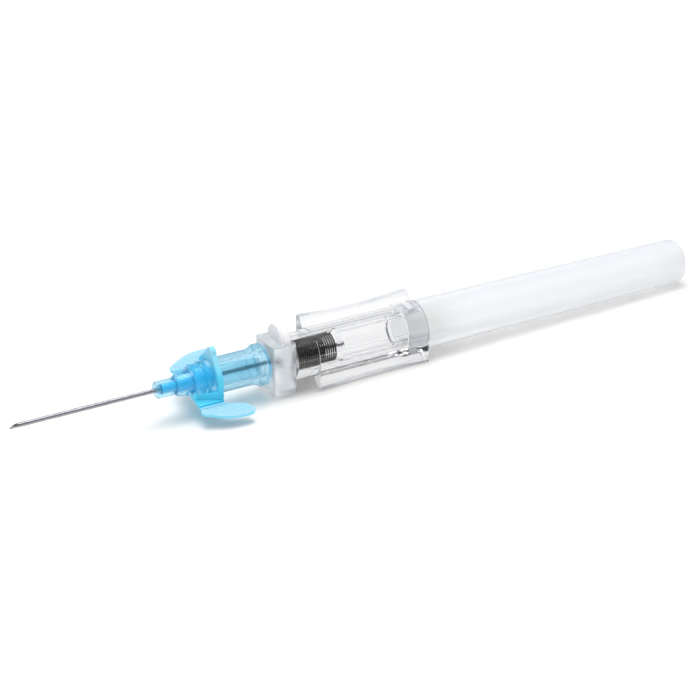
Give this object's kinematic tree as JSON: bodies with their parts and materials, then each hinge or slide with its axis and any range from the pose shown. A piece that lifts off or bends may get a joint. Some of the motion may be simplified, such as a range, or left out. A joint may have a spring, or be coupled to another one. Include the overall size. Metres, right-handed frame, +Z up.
{
  "type": "winged iv cannula",
  "caption": "Winged peripheral vein cannula: blue catheter hub on a clear barrel whose latch button lets a spring draw the needle back into the closed tail tube.",
  "frame": {"origin": "middle of the catheter hub's luer mouth, on the needle axis", "axes": "+X along the needle axis towards the closed tail, so the needle points to -X; +Z up through the release button"},
  "size_m": [0.1346, 0.0175, 0.0125],
  "materials": {
    "needle_steel": "polished stainless tube",
    "tube_plastic": "thin translucent soft tube",
    "deep_blue_plastic": "glossy deep blue",
    "clear_blue_plastic": "clear blue tinted, polished",
    "milky_blue_plastic": "soft milky blue",
    "clear_plastic": "clear, polished",
    "porous_plug": "white sintered",
    "frosted_plastic": "frosted white",
    "spring_steel": "dark bright-drawn wire"
  },
  "bodies": {
    "barrel": {"grip_barrel": "clear_plastic", "tail_tube": "clear_plastic", "retraction_spring": "spring_steel"},
    "catheter": {"catheter_tube": "tube_plastic", "tube_eyelet": "needle_steel", "hub_core": "deep_blue_plastic", "catheter_hub": "clear_blue_plastic", "wing_collar": "milky_blue_plastic"},
    "needle": {"needle_cannula": "needle_steel", "needle_carriage": "clear_plastic", "vent_plug": "porous_plug"},
    "button": {"release_button": "frosted_plastic"}
  },
  "joints": [
    {"name": "catheter_slide", "type": "slide", "parent": "barrel", "child": "catheter", "axis": [-1, 0, 0], "range_m": [0, 0.05]},
    {"name": "needle_retract", "type": "slide", "parent": "barrel", "child": "needle", "axis": [1, 0, 0], "range_m": [0, 0.048], "deforming": ["retraction_spring"]},
    {"name": "button_press", "type": "slide", "parent": "barrel", "child": "button", "axis": [0, 0, -1], "range_m": [0, 0.0013]}
  ]
}
